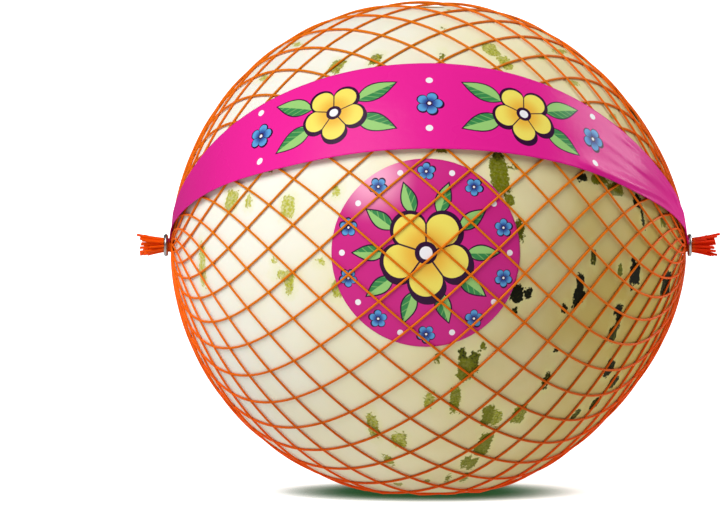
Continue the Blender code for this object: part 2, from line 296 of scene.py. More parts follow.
def maths(tree, operation, *values):
    """The output of a Math node."""
    node = tree.nodes.new("ShaderNodeMath")
    node.operation = operation
    for socket, value in zip(node.inputs, values):
        feed(tree, socket, value)
    return node.outputs["Value"]


def step_up(tree, value, low, high):
    """0 below the low value and 1 above the high one, with a soft step between them."""
    node = tree.nodes.new("ShaderNodeMapRange")
    node.interpolation_type = "SMOOTHSTEP"
    feed(tree, node.inputs["Value"], value)
    feed(tree, node.inputs["From Min"], low)
    feed(tree, node.inputs["From Max"], high)
    return node.outputs["Result"]


def blend_of(tree, share, first, second):
    """A share of the second colour over the first."""
    node = tree.nodes.new("ShaderNodeMix")
    node.data_type = "RGBA"
    feed(tree, node.inputs[0], share)
    feed(tree, node.inputs[6], first)
    feed(tree, node.inputs[7], second)
    return node.outputs[2]


def parts_of(tree, vector):
    """The X, Y and Z parts of a place."""
    node = tree.nodes.new("ShaderNodeSeparateXYZ")
    feed(tree, node.inputs["Vector"], vector)
    return node.outputs["X"], node.outputs["Y"], node.outputs["Z"]


def noise_of(tree, place, scale, detail=3.0):
    """Noise from 0 to 1 that has about this many lumps a unit of the place."""
    node = tree.nodes.new("ShaderNodeTexNoise")
    feed(tree, node.inputs["Vector"], place)
    feed(tree, node.inputs["Scale"], scale)
    feed(tree, node.inputs["Detail"], detail)
    return node.outputs[0]


def new_effect(name, inputs, outputs):
    """An empty shader node group with named sockets: its tree, input node and output node."""
    tree = bpy.data.node_groups.new(name, "ShaderNodeTree")
    for label, kind in inputs:
        tree.interface.new_socket(label, in_out="INPUT", socket_type="NodeSocket" + kind)
    for label, kind in outputs:
        tree.interface.new_socket(label, in_out="OUTPUT", socket_type="NodeSocket" + kind)
    return tree, tree.nodes.new("NodeGroupInput"), tree.nodes.new("NodeGroupOutput")


def add_effect(tree, effect, **values):
    """Place a node group in a material and feed its inputs by name."""
    node = tree.nodes.new("ShaderNodeGroup")
    node.node_tree = effect
    for label, value in values.items():
        feed(tree, node.inputs[label], value)
    return node


def new_finish(name, roughness, metallic=0.0):
    """A material with its tree and its Principled BSDF."""
    material = bpy.data.materials.new(name)
    material.use_nodes = True
    shader = material.node_tree.nodes["Principled BSDF"]
    shader.inputs["Roughness"].default_value = roughness
    shader.inputs["Metallic"].default_value = metallic
    return material, material.node_tree, shader


def place_in_mm(tree):
    """The place on the piece, in millimetres of the object's own frame."""
    place = tree.nodes.new("ShaderNodeTexCoord").outputs["Object"]
    scaled = tree.nodes.new("ShaderNodeVectorMath")
    scaled.operation = "SCALE"
    feed(tree, scaled.inputs[0], place)
    scaled.inputs["Scale"].default_value = METRES_TO_MM
    return scaled.outputs["Vector"]


def roughen(tree, shader, height, depth):
    """Raise a surface by a height from 0 to 1 times a depth in metres."""
    bump = tree.nodes.new("ShaderNodeBump")
    bump.inputs["Distance"].default_value = depth
    feed(tree, bump.inputs["Height"], height)
    feed(tree, shader.inputs["Normal"], bump.outputs["Normal"])


# Fine grain: small lumps of one size with a broad, faint mottle, for every surface here.
GRAINS_IN_MOTTLE = 14.0
MOTTLE_STEP = (0.3, 0.7)
fine_grain, grain_in, grain_out = new_effect(
    "fine_grain", [("Place", "Vector"), ("Grain", "Float")], [("Height", "Float"), ("Mottle", "Float")])
grain_scale = maths(fine_grain, "DIVIDE", 1.0, grain_in.outputs["Grain"])
mottle_scale = maths(fine_grain, "DIVIDE", grain_scale, GRAINS_IN_MOTTLE)
feed(fine_grain, grain_out.inputs["Height"],
     noise_of(fine_grain, grain_in.outputs["Place"], grain_scale, 4.0))
feed(fine_grain, grain_out.inputs["Mottle"],
     step_up(fine_grain, noise_of(fine_grain, grain_in.outputs["Place"], mottle_scale), *MOTTLE_STEP))


def value_from(tree, name):
    """A number stored per vertex on the piece."""
    node = tree.nodes.new("ShaderNodeAttribute")
    node.attribute_name = name
    return node.outputs["Fac"]


rind_finish, tree, shader = new_finish("ivory_rind", 0.42)
place = place_in_mm(tree)
x, y, z = parts_of(tree, place)
grain = add_effect(tree, fine_grain, Place=place, Grain=RIND_GRAIN_MM)
# Partly painted shade: the skin turns cream and khaki to the right and down, away from the key light.
ripe_and_shade = maths(tree, "MULTIPLY_ADD", maths(tree, "MAXIMUM", z, RIPE_AND_SHADE_LOWEST_MM), *RIPE_AND_SHADE_FALL)
ripe_and_shade = maths(tree, "MULTIPLY_ADD", x, RIPE_AND_SHADE_TO_RIGHT, ripe_and_shade)
ripe_and_shade = maths(tree, "ADD", ripe_and_shade, maths(
    tree, "MULTIPLY_ADD", grain.outputs["Mottle"], RIPE_MOTTLE, -RIPE_MOTTLE / 2))
skin = blend_of(tree, step_up(tree, ripe_and_shade, *RIPE_AND_SHADE_CREAM), RIND_IVORY, RIND_CREAM)
skin = blend_of(tree, step_up(tree, ripe_and_shade, *RIPE_AND_SHADE_KHAKI), skin, RIND_KHAKI_SHADED)

depth = value_from(tree, "fleck_depth")
tone = value_from(tree, "fleck_tone")
broad = noise_of(tree, place, BROAD_LUMPS, 2.0)
ragged = noise_of(tree, place, RAGGED_LUMPS, 3.0)
edge = maths(tree, "SUBTRACT", depth, BROAD_REACH_MM / 2)
edge = maths(tree, "MULTIPLY_ADD", broad, BROAD_REACH_MM, edge)
edge = maths(tree, "SUBTRACT", edge, RAGGED_REACH_MM / 2)
edge = maths(tree, "MULTIPLY_ADD", ragged, RAGGED_REACH_MM, edge)
halo = maths(tree, "MULTIPLY", step_up(tree, edge, *HALO_EDGE_MM), HALO_SHARE)
skin = blend_of(tree, halo, skin, FLECK_HALO)
speckle = noise_of(tree, place, SPECKLE_LUMPS, 4.0)
toned = maths(tree, "SUBTRACT", tone, SPECKLE_REACH / 2)
toned = maths(tree, "MULTIPLY_ADD", speckle, SPECKLE_REACH, toned)
fleck_colour = blend_of(tree, step_up(tree, toned, *OLIVE_TONES), FLECK_PALE, FLECK_OLIVE)
fleck_colour = blend_of(tree, step_up(tree, toned, *BLACK_TONES), fleck_colour, FLECK_BLACK)
granule = step_up(tree, noise_of(tree, place, GRANULE_LUMPS, 2.0), *GRANULE_STEP)
gappy = maths(tree, "POWER", maths(tree, "SUBTRACT", 1.0, tone), GAP_POWER)
gaps = maths(tree, "MULTIPLY", gappy, GAP_SHARE)
bare = maths(tree, "MULTIPLY", gaps, maths(tree, "SUBTRACT", 1.0, granule))
cover = maths(tree, "MULTIPLY", step_up(tree, edge, *FLECK_EDGE_MM), maths(tree, "SUBTRACT", 1.0, bare))
skin = blend_of(tree, cover, skin, fleck_colour)

squares = maths(tree, "ADD", maths(tree, "POWER", x, 2.0), maths(tree, "POWER", y, 2.0))
from_axis = maths(tree, "SUBTRACT", maths(tree, "SQRT", squares), SCAR_WAVE_MM / 2)
wavy_axis = maths(tree, "MULTIPLY_ADD", ragged, SCAR_WAVE_MM, from_axis)
on_top = step_up(tree, z, *SCAR_TOP_MM)
larger = STEM_SCAR_RADIUS_MM - BLOSSOM_SCAR_RADIUS_MM
scar_radius = maths(tree, "MULTIPLY_ADD", on_top, larger, BLOSSOM_SCAR_RADIUS_MM)
scar = step_up(tree, maths(tree, "SUBTRACT", scar_radius, wavy_axis), *SCAR_EDGE_MM)
cork = blend_of(tree, speckle, CORK_DARK, CORK_LIGHT)
feed(tree, shader.inputs["Base Color"], blend_of(tree, scar, skin, cork))
dark = maths(tree, "MULTIPLY", cover, step_up(tree, tone, *DULL_TONES))
dull = maths(tree, "MULTIPLY_ADD", scar, SCAR_DULLNESS, maths(tree, "MULTIPLY", dark, FLECK_DULLNESS))
roughness = maths(tree, "MULTIPLY_ADD", grain.outputs["Mottle"], *RIND_ROUGHNESS)
feed(tree, shader.inputs["Roughness"], maths(tree, "ADD", dull, roughness))
corky = maths(tree, "MULTIPLY", maths(tree, "MULTIPLY", scar, speckle), SCAR_RELIEF)
roughen(tree, shader, maths(tree, "ADD", grain.outputs["Height"], corky), RIND_RELIEF)
shader.inputs["Subsurface Weight"].default_value = 0.06
shader.inputs["Subsurface Scale"].default_value = 0.002
shader.inputs["Specular IOR Level"].default_value = 0.12
rind.data.materials.append(rind_finish)
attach(rind, "root")
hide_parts("melon")

# The sticker. A round label of coated paper, stuck on the rind under the net, with a printed
# pattern of its own: one big blossom with leaves round it and a ring of small ones near the edge.
STICKER_RADIUS = 0.0303
STICKER_OFFSET = 0.00006
STICKER_THICKNESS = 0.00015
STICKER_AZIMUTH = 2.3
STICKER_SIDE_SHIFT = -0.0011
STICKER_STEPS = 80
MAGENTA_INK = (0.60, 0.020, 0.225, 1.0)
HIGHLIGHT_PINK = (0.90, 0.36, 0.55, 1.0)
YELLOW_INK = (0.86, 0.73, 0.12, 1.0)
ORANGE_INK = (0.82, 0.46, 0.05, 1.0)
PLUM_INK = (0.030, 0.005, 0.034, 1.0)
BLUE_INK = (0.10, 0.34, 0.66, 1.0)
DEEP_BLUE_INK = (0.03, 0.07, 0.30, 1.0)
WHITE_INK = (0.86, 0.84, 0.86, 1.0)
DARK_GREEN_INK = (0.04, 0.24, 0.07, 1.0)
LIGHT_GREEN_INK = (0.30, 0.58, 0.17, 1.0)
PRINT_EDGE_MM = 0.12


def lay_flat(thing, flat_points):
    """Set a sheet's UV map from one flat place, from 0 to 1 each way, per vertex."""
    corners = np.empty(len(thing.data.loops), dtype=np.int32)
    thing.data.loops.foreach_get("vertex_index", corners)
    layer = thing.data.uv_layers.active
    layer.data.foreach_set("uv", flat_points[corners].astype(np.float32).ravel())


def select_only(thing):
    """Make one object the only selected one and the active one."""
    bpy.ops.object.select_all(action="DESELECT")
    thing.select_set(True)
    bpy.context.view_layer.objects.active = thing


def add_film_thickness(thing, thickness):
    """Make an open sheet solid outwards, away from the fruit, and apply it."""
    select_only(thing)
    face = thing.data.polygons[len(thing.data.polygons) // 2]
    outwards = np.dot(face.normal, np.array(face.center) - FRUIT_MIDDLE) > 0
    solid = thing.modifiers.new("thickness", "SOLIDIFY")
    solid.thickness = thickness
    solid.offset = 1.0 if outwards else -1.0
    bpy.ops.object.modifier_apply(modifier="thickness")
    thing.data.shade_smooth()


bpy.ops.object.select_all(action="DESELECT")
bpy.ops.mesh.primitive_grid_add(x_subdivisions=STICKER_STEPS, y_subdivisions=STICKER_STEPS, size=2)
sticker = bpy.context.object
sticker.name = "sticker_print"
square = read_points(sticker)
disc_x = square[:, 0] * np.sqrt(1 - square[:, 1] ** 2 / 2)
disc_y = square[:, 1] * np.sqrt(1 - square[:, 0] ** 2 / 2)
lay_flat(sticker, 0.5 + 0.5 * np.column_stack((disc_x, disc_y)))
lift = math.radians(STICKER_AZIMUTH)
sticker_middle = np.array((STICKER_SIDE_SHIFT / FRUIT_RADIUS, -math.cos(lift), math.sin(lift)))
sticker_middle = sticker_middle / np.linalg.norm(sticker_middle)
sticker_side = np.cross((0, 0, 1), sticker_middle)
sticker_side = sticker_side / np.linalg.norm(sticker_side)
sticker_up = np.cross(sticker_middle, sticker_side)
angle = np.hypot(disc_x, disc_y) * STICKER_RADIUS / FRUIT_RADIUS
turn = np.arctan2(disc_y, disc_x)
outward = np.outer(np.cos(turn), sticker_side) + np.outer(np.sin(turn), sticker_up)
sticker_ways = np.cos(angle)[:, None] * sticker_middle + np.sin(angle)[:, None] * outward
place_points(sticker, above_skin(sticker_ways, STICKER_OFFSET, 0.0))
add_film_thickness(sticker, STICKER_THICKNESS)


def vector_of(tree, x, y):
    """A flat place from its two parts."""
    node = tree.nodes.new("ShaderNodeCombineXYZ")
    feed(tree, node.inputs["X"], x)
    feed(tree, node.inputs["Y"], y)
    return node.outputs["Vector"]


def round_parts(tree, x, y):
    """Distance from the middle and turn in radians."""
    squares = maths(tree, "ADD", maths(tree, "MULTIPLY", x, x), maths(tree, "MULTIPLY", y, y))
    return maths(tree, "SQRT", squares), maths(tree, "ARCTAN2", y, x)


def turned_parts(tree, x, y, degrees):
    """The two parts of a flat place after a turn round the middle."""
    sine = math.sin(math.radians(degrees))
    cosine = math.cos(math.radians(degrees))
    turned_x = maths(tree, "SUBTRACT", maths(tree, "MULTIPLY", x, cosine), maths(tree, "MULTIPLY", y, sine))
    turned_y = maths(tree, "ADD", maths(tree, "MULTIPLY", x, sine), maths(tree, "MULTIPLY", y, cosine))
    return turned_x, turned_y


# The printed blossom: five round petals in two tones, an eye, and a dark outline that is heavier
# below and to the right. Its parts are shares of its radius.
PETALS = 5
PETAL_ROUNDNESS = 0.55
PETAL_REACH = (0.42, 0.50)
PRINT_SHADE_SHIFT = (0.06, 0.07)
OUTLINE_WIDTH = 0.09
THROAT_FADE = (0.25, 0.75)
SEAM_WIDTH = (0.03, 0.06)
EYE_RADIUS = 0.24
PUPIL_RADIUS = 0.14
blossom_print, blossom_in, blossom_out = new_effect(
    "blossom_print",
    [("Place", "Vector"), ("Radius", "Float"), ("Petal", "Color"), ("Throat", "Color")],
    [("Cover", "Float"), ("Ink", "Color")])


def petal_edge(tree, x, y, radius):
    """How far inside a five-petal outline a place lies, its distance out, and its petal seam."""
    distance, turn = round_parts(tree, x, y)
    crest = maths(tree, "ABSOLUTE", maths(tree, "COSINE", maths(tree, "MULTIPLY", turn, PETALS / 2)))
    rounded = maths(tree, "POWER", crest, PETAL_ROUNDNESS)
    outline = maths(tree, "MULTIPLY", radius, maths(tree, "MULTIPLY_ADD", rounded, *PETAL_REACH))
    return maths(tree, "SUBTRACT", outline, distance), distance, crest


tree = blossom_print
radius = blossom_in.outputs["Radius"]
x, y, _ = parts_of(tree, blossom_in.outputs["Place"])
inside, distance, crest = petal_edge(tree, x, y, radius)
shade_x = maths(tree, "SUBTRACT", x, maths(tree, "MULTIPLY", radius, PRINT_SHADE_SHIFT[0]))
shade_y = maths(tree, "MULTIPLY_ADD", radius, PRINT_SHADE_SHIFT[1], y)
shade_inside, _, _ = petal_edge(tree, shade_x, shade_y, radius)
outer = maths(tree, "MAXIMUM", inside, shade_inside)
outer = maths(tree, "MULTIPLY_ADD", radius, OUTLINE_WIDTH, outer)
petals = step_up(tree, inside, 0.0, PRINT_EDGE_MM)
reach = maths(tree, "DIVIDE", distance, radius)
ink = blend_of(
    tree, step_up(tree, reach, *THROAT_FADE), blossom_in.outputs["Throat"], blossom_in.outputs["Petal"])
seam = maths(tree, "MULTIPLY", crest, distance)
seam_line = maths(tree, "SUBTRACT", 1.0, step_up(
    tree, seam, *[maths(tree, "MULTIPLY", radius, width) for width in SEAM_WIDTH]))
ink = blend_of(tree, seam_line, ink, PLUM_INK)
eye_edge = maths(tree, "MULTIPLY_ADD", radius, EYE_RADIUS, maths(tree, "MULTIPLY", distance, -1.0))
ink = blend_of(tree, step_up(tree, eye_edge, 0.0, PRINT_EDGE_MM), ink, PLUM_INK)
pupil_edge = maths(tree, "MULTIPLY_ADD", radius, PUPIL_RADIUS, maths(tree, "MULTIPLY", distance, -1.0))
ink = blend_of(tree, step_up(tree, pupil_edge, 0.0, PRINT_EDGE_MM), ink, WHITE_INK)
feed(tree, blossom_out.inputs["Ink"], blend_of(tree, petals, PLUM_INK, ink))
feed(tree, blossom_out.inputs["Cover"], step_up(tree, outer, 0.0, PRINT_EDGE_MM))

# The printed leaf: it grows from its root towards +X, in two greens with a midrib and side veins.
LEAF_FULLNESS = 0.8
LEAF_HALF_WIDTH = 0.24
LEAF_GREENS_MM = (-0.1, 0.1)
VEIN_SLANT = 1.2
VEINS_PER_MM = 2.4
VEIN_EDGE = (0.75, 0.95)
VEIN_SHARE = 0.5
MIDRIB_MM = (0.12, 0.3)
LEAF_OUTLINE_MM = (0.45, 0.6)
leaf_print, leaf_in, leaf_out = new_effect(
    "leaf_print", [("Place", "Vector"), ("Length", "Float")], [("Cover", "Float"), ("Ink", "Color")])
tree = leaf_print
length = leaf_in.outputs["Length"]
x, y, _ = parts_of(tree, leaf_in.outputs["Place"])
run = maths(tree, "DIVIDE", x, length)
run = maths(tree, "MINIMUM", maths(tree, "MAXIMUM", run, 0.0), 1.0)
swell = maths(tree, "SINE", maths(tree, "MULTIPLY", maths(tree, "POWER", run, LEAF_FULLNESS), math.pi))
half_width = maths(tree, "MULTIPLY", maths(tree, "MULTIPLY", length, LEAF_HALF_WIDTH), swell)
aside = maths(tree, "ABSOLUTE", y)
inside = maths(tree, "SUBTRACT", half_width, aside)
green = blend_of(tree, step_up(tree, y, *LEAF_GREENS_MM), DARK_GREEN_INK, LIGHT_GREEN_INK)
slanted = maths(tree, "SUBTRACT", x, maths(tree, "MULTIPLY", aside, VEIN_SLANT))
side_vein = step_up(tree, maths(tree, "SINE", maths(tree, "MULTIPLY", slanted, VEINS_PER_MM)), *VEIN_EDGE)
green = blend_of(tree, maths(tree, "MULTIPLY", side_vein, VEIN_SHARE), green, LIGHT_GREEN_INK)
midrib = maths(tree, "SUBTRACT", 1.0, step_up(tree, aside, *MIDRIB_MM))
green = blend_of(tree, midrib, green, LIGHT_GREEN_INK)
within = step_up(tree, inside, *LEAF_OUTLINE_MM)
feed(tree, leaf_out.inputs["Ink"], blend_of(tree, within, PLUM_INK, green))
feed(tree, leaf_out.inputs["Cover"], step_up(tree, inside, 0.0, PRINT_EDGE_MM))


def overprint(tree, base, effect):
    """A print's ink where it covers the base."""
    return blend_of(tree, effect.outputs["Cover"], base, effect.outputs["Ink"])


def sector_place(tree, distance, turn, count, start):
    """A place moved into one of the equal sectors round the middle, whose axis becomes +X."""
    sector = 2 * math.pi / count
    local = maths(tree, "WRAP", turn, sector / 2, -sector / 2)
    x = maths(tree, "MULTIPLY", distance, maths(tree, "COSINE", local))
    return maths(tree, "SUBTRACT", x, start), maths(tree, "MULTIPLY", distance, maths(tree, "SINE", local))


def dot_cover(tree, x, y, radius):
    """1 inside a printed dot round a flat place's middle, and 0 outside."""
    distance, _ = round_parts(tree, x, y)
    return step_up(tree, distance, radius + PRINT_EDGE_MM, radius)


def flat_parts(tree, width):
    """The two parts of the place on a sheet's own map, in millimetres from its middle."""
    width_mm = width * METRES_TO_MM
    coordinates = tree.nodes.new("ShaderNodeTexCoord")
    mapping = tree.nodes.new("ShaderNodeMapping")
    mapping.inputs["Location"].default_value = (-width_mm / 2, -width_mm / 2, 0)
    mapping.inputs["Scale"].default_value = (width_mm, width_mm, 1)
    feed(tree, mapping.inputs["Vector"], coordinates.outputs["UV"])
    x, y, _ = parts_of(tree, mapping.outputs["Vector"])
    return x, y


STICKER_BLOSSOM_MM = 15.0
STICKER_LEAVES = 10
STICKER_LEAF_MM = 11.5
STICKER_LEAF_START_MM = 12.5
RING_BLOSSOM_MM = 3.1
RING_BLOSSOM_PLACE_MM = 26.0
RING_DOT_MM = 0.9
RING_DOT_PLACE_MM = 26.8
UPRIGHT_TURN = 18
PAINTED_HIGHLIGHT_MM = (-17.0, 23.5)
PAINTED_HIGHLIGHT_FADE_MM = (2.0, 15.0)
PAPER_ROUGHNESS = (0.1, 0.33)
PAPER_GRAIN_MM = 0.5
PAPER_RELIEF = 0.00001

sticker_finish, tree, shader = new_finish("printed_paper", 0.38)
grain = add_effect(tree, fine_grain, Place=place_in_mm(tree), Grain=PAPER_GRAIN_MM)
x, y = flat_parts(tree, 2 * STICKER_RADIUS)
distance, turn = round_parts(tree, x, y)
# Painted highlight: the paper turns pale pink round a spot at its upper left, where the key light glints.
highlight_x = maths(tree, "SUBTRACT", x, PAINTED_HIGHLIGHT_MM[0])
highlight_y = maths(tree, "SUBTRACT", y, PAINTED_HIGHLIGHT_MM[1])
from_highlight, _ = round_parts(tree, highlight_x, highlight_y)
paper = blend_of(tree, step_up(tree, from_highlight, *PAINTED_HIGHLIGHT_FADE_MM), HIGHLIGHT_PINK, MAGENTA_INK)
leaf_x, leaf_y = sector_place(tree, distance, turn, STICKER_LEAVES, STICKER_LEAF_START_MM)
leaf = add_effect(tree, leaf_print, Place=vector_of(tree, leaf_x, leaf_y), Length=STICKER_LEAF_MM)
paper = overprint(tree, paper, leaf)
half_turned = maths(tree, "ADD", turn, math.pi / STICKER_LEAVES)
ring_x, ring_y = sector_place(tree, distance, half_turned, STICKER_LEAVES, RING_BLOSSOM_PLACE_MM)
ring = add_effect(tree, blossom_print, Place=vector_of(tree, ring_x, ring_y), Radius=RING_BLOSSOM_MM,
                  Petal=BLUE_INK, Throat=DEEP_BLUE_INK)
paper = overprint(tree, paper, ring)
dot_x, dot_y = sector_place(tree, distance, turn, STICKER_LEAVES, RING_DOT_PLACE_MM)
paper = blend_of(tree, dot_cover(tree, dot_x, dot_y, RING_DOT_MM), paper, WHITE_INK)
upright = vector_of(tree, *turned_parts(tree, x, y, UPRIGHT_TURN))
middle = add_effect(tree, blossom_print, Place=upright, Radius=STICKER_BLOSSOM_MM,
                    Petal=YELLOW_INK, Throat=ORANGE_INK)
paper = overprint(tree, paper, middle)
feed(tree, shader.inputs["Base Color"], paper)
feed(tree, shader.inputs["Roughness"], maths(
    tree, "MULTIPLY_ADD", grain.outputs["Mottle"], *PAPER_ROUGHNESS))
roughen(tree, shader, grain.outputs["Height"], PAPER_RELIEF)
shader.inputs["Specular IOR Level"].default_value = 0.15
sticker.data.materials.append(sticker_finish)
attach(sticker, "root")
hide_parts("sticker")

# The net. Extruded orange plastic: thirty strands wind one way and thirty the other, welded where
# they cross. At each side they are drawn together into a neck, pass through the clip and end in a
# tuft where they were cut.
STRANDS_EACH_WAY = 30
TUFT_SEED = 5
STRAND_RADIUS = 0.00037
UNDER_OFFSET = 0.00041
OVER_OFFSET = 0.00060
STRAND_TAPER = 0.68
PILE_HEIGHT = 0.00035
PILE_POLAR = 13.0
STRAND_STEPS = 96
END_POLAR = 3.6
# The rows of crossings between the clips: how far they spread, crowd, shift, pinch and lean.
ROW_SPREAD = 4.8
ROW_CROWDING = 1.0
RIGHT_ROW_SHIFT = 4.2
RIGHT_ROW_REACH = (-0.05, 0.65)
ROW_SHIFT = -0.75
ROW_PINCH = 0.025
ROW_LEAN_MM = (-0.6, 11.0, -10.4)
NET_AXIS_LIFT = 0.0015
NET_MIDDLE = FRUIT_MIDDLE + np.array((0, 0, NET_AXIS_LIFT))
LATTICE_TURN = 0.3
TAPER_REACH = 0.35
STICKER_RAMP = (1.06, 0.04)
# The gathers, the necks and the tufts of cut ends: reach out from the fruit's middle, and radius.
GATHER_STEPS = 5
GATHER_MIDDLE = (0.08150, 0.0021)
NECK_START = 0.0822
NECK_RADIUS = 0.00190
INNER_NECK = 0.72
NECK_END = 0.0840
STRAND_ROUNDNESS = 2
SMOOTH_ANGLE = 40
TAIL_STEPS = 6
TAIL_TURN = 4
TAIL_ORDER = 11
LONGEST_TAIL = 8
TAIL_START = 0.0805
TAIL_FLARE = 0.0015
TAIL_RADIUS = 0.00042
TAIL_REACH = (0.0884, 0.0921)
TAIL_LONGEST = 0.0929
TAIL_FAN = 0.0038
TAIL_BEND = (0.9, 1.12)
TAIL_BEND_POWER = 1.3
TAIL_SLIM = 0.75
TAIL_SLIM_RUN = 0.4
NET_YELLOW = (0.70, 0.190, 0.005, 1.0)
NET_ORANGE = (0.98, 0.090, 0.003, 1.0)
NET_SHADED = (0.42, 0.055, 0.002, 1.0)
NET_RED = (0.84, 0.030, 0.0005, 1.0)
TUFT_ORANGE = (0.90, 0.095, 0.002, 1.0)
# Painted light and shade, with a random mottle: the plastic is redder to the right, low down and half way
# from front to back, and darker below.
RED_START = 0.37
RED_TO_RIGHT = 0.0014
RED_UP = -0.0045
RED_HALF_WAY = 0.55
RED_MOTTLE = 0.2
RED_MOTTLE_LUMPS = 0.09
HALF_WAY_BACK_MM = (62.0, 10.0)
SHADED_MM = (75.0, 25.0)
SHADED_SHARE = 0.6
TUFT_MM = (83.5, 85.5)
TUFT_SIDES_MM = (-40.0, 40.0)
NET_ROUGHNESS = (0.14, 0.34)
NET_GRAIN_MM = 0.7
NET_RELIEF = 0.00002


def net_ways(polar, azimuth):
    """Unit directions at polar angles from the right clip and azimuths above the front.

    The clips sit a little above the fruit's middle, so the directions bend upwards at both ends.
    """
    polar = np.radians(polar)
    azimuth = np.radians(azimuth)
    ring = np.sin(polar)
    x = np.cos(polar)
    lift = NET_AXIS_LIFT / FRUIT_RADIUS * x * x
    return unit_rows(np.column_stack((x, -ring * np.cos(azimuth), ring * np.sin(azimuth) + lift)))


def strand_ways(polar, azimuth):
    """Directions of the strands themselves.

    Their rows lie a little closer over the top and the bottom, lean back between the front and the
    sides, and rise to the clips only near them.
    """
    polar = np.radians(polar)
    azimuth = np.radians(azimuth)
    ring = np.sin(polar)
    x = np.cos(polar)
    upward = ring * np.sin(azimuth)
    first, second, fourth = np.array(ROW_LEAN_MM) / (FRUIT_RADIUS * METRES_TO_MM)
    lean = first + second * x ** 2 + fourth * x ** 4
    lift = NET_AXIS_LIFT / FRUIT_RADIUS * x ** 8
    pinched = x * (1 - ROW_PINCH * upward ** 2)
    return unit_rows(np.column_stack((pinched, lean - ring * np.cos(azimuth), upward + lift)))


def ease(share):
    """A share from 0 to 1 that starts and ends softly."""
    return share * share * (3 - 2 * share)


def new_curve(name, radius, roundness):
    """An empty curve with a round section and closed ends."""
    curve = bpy.data.curves.new(name, "CURVE")
    curve.dimensions = "3D"
    curve.bevel_depth = radius
    curve.bevel_resolution = roundness
    curve.use_fill_caps = True
    return curve


def mesh_of_curve(name, curve):
    """A curve made a mesh object, smooth but for its sharp edges."""
    thing = bpy.data.objects.new(name, curve)
    bpy.context.scene.collection.objects.link(thing)
    select_only(thing)
    bpy.ops.object.convert(target="MESH")
    bpy.ops.object.shade_smooth_by_angle(angle=math.radians(SMOOTH_ANGLE))
    return bpy.context.object


def add_spline(curve, points, radii):
    """One strand of a net curve, through points with a radius at each."""
    spline = curve.splines.new("POLY")
    spline.points.add(len(points) - 1)
    spline.points.foreach_set("co", np.column_stack((points, np.ones(len(points)))).ravel())
    spline.points.foreach_set("radius", np.asarray(radii, dtype=np.float32))


def row_place(run):
    """Angle from the fruit's middle plane, positive to the right, at a run of 90 degrees of winding."""
    right = np.clip((run - RIGHT_ROW_REACH[0]) / (RIGHT_ROW_REACH[1] - RIGHT_ROW_REACH[0]), 0, 1)
    spread = np.sin(math.pi * run)
    spread_row = 90 * run + ROW_SPREAD * spread - ROW_CROWDING * spread ** 3
    return spread_row + ROW_SHIFT - RIGHT_ROW_SHIFT * ease(right)


def strand_path(hand, start, offset):
    """A strand over the fruit from neck to neck: its points and its radius at each."""
    run = np.linspace(*STRAND_RUNS, STRAND_STEPS)
    azimuth = LATTICE_TURN + start + hand * 90 * run
    polar = 90 - row_place(run)
    ways = strand_ways(polar, azimuth)
    on_sticker = np.arccos(np.clip(ways @ sticker_middle, -1, 1)) * FRUIT_RADIUS / STICKER_RADIUS
    over_sticker = np.clip((STICKER_RAMP[0] - on_sticker) / STICKER_RAMP[1], 0, 1) * STICKER_THICKNESS
    from_clip = np.minimum(polar, 180 - polar)
    piled = PILE_HEIGHT * np.exp(-(from_clip / PILE_POLAR) ** 2)
    points = above_skin(ways, offset + over_sticker + piled, STRAND_RADIUS)
    slim = STRAND_TAPER + (1 - STRAND_TAPER) * np.clip(np.sin(np.radians(polar)) / TAPER_REACH, 0, 1)
    return points, slim, azimuth


def way_from_axis(azimuth):
    """Unit direction straight out from the net's axis, at an azimuth above the front."""
    return np.array((0, -math.cos(math.radians(azimuth)), math.sin(math.radians(azimuth))))


def gather_path(point, side, azimuth, neck_radius):
    """From the last point on the fruit in a soft bend to the neck, and along it to its end."""
    outward = way_from_axis(azimuth)
    first_reach = abs(point[0])
    first_radius = np.linalg.norm((point - NET_MIDDLE)[1:])
    path = []
    for step in range(1, GATHER_STEPS + 1):
        share = step / GATHER_STEPS
        weights = ((1 - share) ** 2, 2 * share * (1 - share), share ** 2)
        reach = weights[0] * first_reach + weights[1] * GATHER_MIDDLE[0] + weights[2] * NECK_START
        radius = weights[0] * first_radius + weights[1] * GATHER_MIDDLE[1] + weights[2] * neck_radius
        path.append(NET_MIDDLE + np.array((side * reach, 0, 0)) + outward * radius)
    path.append(NET_MIDDLE + np.array((side * NECK_END, 0, 0)) + outward * neck_radius)
    return path


# The runs of winding at which a strand reaches its first and its last row, by trial.
trial_runs = np.linspace(-1.2, 1.3, 2501)
STRAND_RUNS = np.interp((END_POLAR - 90, 90 - END_POLAR), row_place(trial_runs), trial_runs)
chance = random.Random(TUFT_SEED)
net_curve = new_curve("net_strands", STRAND_RADIUS, STRAND_ROUNDNESS)
pitch = 360 / STRANDS_EACH_WAY
for number in range(STRANDS_EACH_WAY):
    for hand in (1, -1):
        start = pitch * number + (0 if hand > 0 else pitch / 2)
        offset = UNDER_OFFSET if hand > 0 else OVER_OFFSET
        points, radii, azimuth = strand_path(hand, start, offset)
        neck_radius = NECK_RADIUS * (1.0 if hand > 0 else INNER_NECK)
        before = gather_path(points[0], -1, azimuth[0], neck_radius)
        after = gather_path(points[-1], 1, azimuth[-1], neck_radius)
        path = np.array(before[::-1] + list(points) + after)
        ends = [STRAND_TAPER] * len(after)
        add_spline(net_curve, path, ends + list(radii) + ends)
